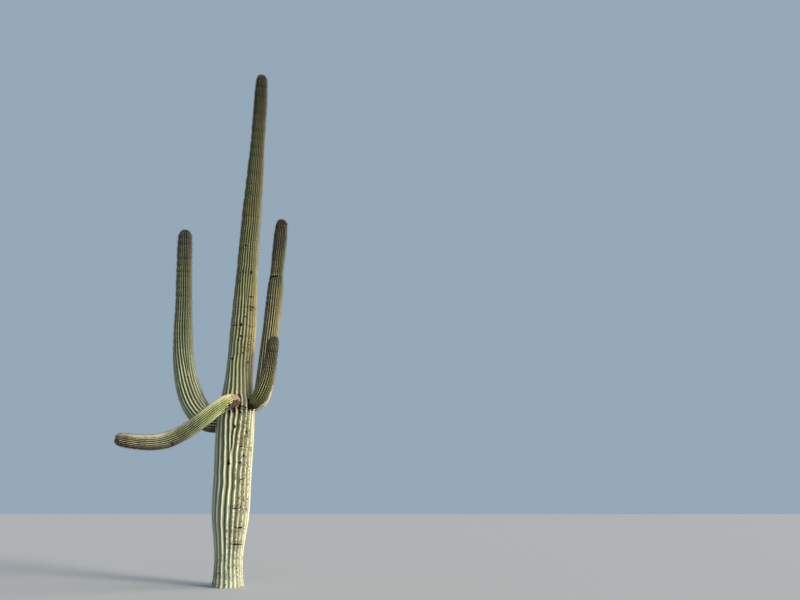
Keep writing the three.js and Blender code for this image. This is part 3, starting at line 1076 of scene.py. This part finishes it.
def bud_faces():
    """The faces between a bud's rings, its foot, and the fan round its tip."""
    faces = [list(range(BUD_COLUMNS - 1, -1, -1))]
    tip = BUD_RINGS * BUD_COLUMNS
    for column in range(BUD_COLUMNS):
        beside = (column + 1) % BUD_COLUMNS
        for low in range(0, tip - BUD_COLUMNS, BUD_COLUMNS):
            high = low + BUD_COLUMNS
            faces.append([low + column, low + beside, high + beside, high + column])
        last = tip - BUD_COLUMNS
        faces.append([last + column, last + beside, tip])
    return faces


def make_buds(limb):
    """A few buds at one side of a crown. Each row: direction from +X in degrees, how far up
    the dome, and size."""
    buds = [(-12, 0.5, 1.0), (-40, 0.6, 0.85), (14, 0.62, 0.75), (150, 0.66, 0.7)]
    centre, radius = limb.points[-1, :3], limb.points[-1, 3]
    up = np.array([0, 0, 1.0])
    points, faces = [], []
    for number, (degrees, rise, size) in enumerate(buds):
        share = (1 - rise ** DOME_ROUNDNESS) ** (1 / DOME_ROUNDNESS)
        turn = math.radians(degrees)
        flat = np.array([math.cos(turn), math.sin(turn), 0])
        foot = centre - up * DOME_LENGTH * radius * (1 - rise)
        foot = foot + flat * (radius - SKIN_INSET) * share
        along = flat * 0.62 + up * 0.78
        side = np.cross(up, flat)
        axes = np.stack([side, np.cross(along, side), along])
        shape = bud_points(size)
        points.append(foot - along * BUD_ROOT + shape @ axes)
        faces += [[number * len(shape) + corner for corner in face] for face in bud_faces()]
    material = plain_material("bud_green", paint(74, 78, 48), 0.6)
    piece = mesh_object("back_right_arm_buds", np.concatenate(points), faces, material)
    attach(piece, "root")


def make_limbs():
    """Every skin with its pads and spines. Each row: the skin, its slot, which is not used, its
    colours, the edge of its crests, the strips of its UV map, how far from its tip the spines
    are young and where they are old, and the nodes that it stands for."""
    arm_slot = "arm_skin"
    rows = [
        (make_trunk(), "trunk_skin", TRUNK_COLOURS, (0.62, 0.96), 8, 1.2, 5.0, ["trunk"]),
        (make_left_arm(), arm_slot, LEFT_COLOURS, (0.55, 0.95), 5, 0.7, 2.6,
         ["left_arm_elbow", "left_arm_upright"]),
        (make_front_arm(), arm_slot, FRONT_COLOURS, (0.52, 0.96), 4, 0.15, 1.0,
         ["front_arm_root", "front_arm_reach"]),
        (make_back_right_arm(), arm_slot, BACK_RIGHT_COLOURS, (0.55, 0.96), 5, 0.7, 2.4,
         ["back_right_arm_elbow", "back_right_arm_upright"]),
        (make_front_right_arm(), arm_slot, FRONT_RIGHT_COLOURS, (0.55, 0.96), 2, 0.4, 1.5,
         ["front_right_arm_elbow", "front_right_arm_upright"]),
    ]
    for skin, slot, colours, crest_edge, strips, young_reach, old_reach, nodes in rows:
        material = skin_material(skin.name + "_wax", colours, crest_edge)
        piece = skin.build(material, strips)
        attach(piece, "root")
        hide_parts(*nodes)
        dress(skin, young_reach, old_reach)


def make_floor():
    """A wide pale floor at ground level."""
    reach = 60.0
    corners = reach * np.array([(-1, -1, 0), (1, -1, 0), (1, 1, 0), (-1, 1, 0)])
    material = plain_material("floor_pale", paint(174, 176, 178), 0.9)
    floor = mesh_object("floor", corners, [(0, 1, 2, 3)], material, smooth=False)
    floor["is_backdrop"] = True


# Suns: energy, azimuth from +X towards +Y and elevation of where it shines from, and size.
SUNS = {"broad_key": (3.0, -5, 24, 60), "front_key": (2.4, -30, 24, 16)}
SUN_COLOUR = (1.0, 0.88, 0.72)
AIR_COLOUR = paint(188, 212, 232)
AIR_STRENGTH = 0.6


def make_lights():
    """A broad warm light from the right, a narrower one nearer the viewer, and cool air."""
    for name, (energy, azimuth, elevation, size) in SUNS.items():
        data = bpy.data.lights.new(name, "SUN")
        data.energy = energy
        data.color = SUN_COLOUR
        data.angle = math.radians(size)
        light = add_object(name, data)
        light.rotation_euler = (0, math.radians(90 - elevation), math.radians(azimuth))
    world = bpy.data.worlds.new("studio")
    world.use_nodes = True
    background = world.node_tree.nodes["Background"]
    background.inputs["Color"].default_value = AIR_COLOUR
    background.inputs["Strength"].default_value = AIR_STRENGTH
    bpy.context.scene.world = world
    bpy.context.scene.view_settings.view_transform = "Standard"


# The camera's place, upward tilt in degrees, lens and sensor in millimetres, and farthest
# sight.
CAMERA_PLACE = (3.137, -12.36, 1.5)
CAMERA_TILT = 17.8
LENS = 28
SENSOR_WIDTH = 36
FARTHEST = 300


def make_camera():
    """The photograph's view: a person's eye height, tilted up at the tall trunk."""
    data = bpy.data.cameras.new("camera")
    data.sensor_width = SENSOR_WIDTH
    data.lens = LENS
    data.clip_end = FARTHEST
    camera = add_object("camera", data)
    camera.location = CAMERA_PLACE
    camera.rotation_euler = (math.radians(90 + CAMERA_TILT), 0, 0)
    bpy.context.scene.camera = camera


make_camera()
make_limbs()
make_buds(arm_limb(BACK_RIGHT_ARM_STATIONS))
make_floor()
make_lights()
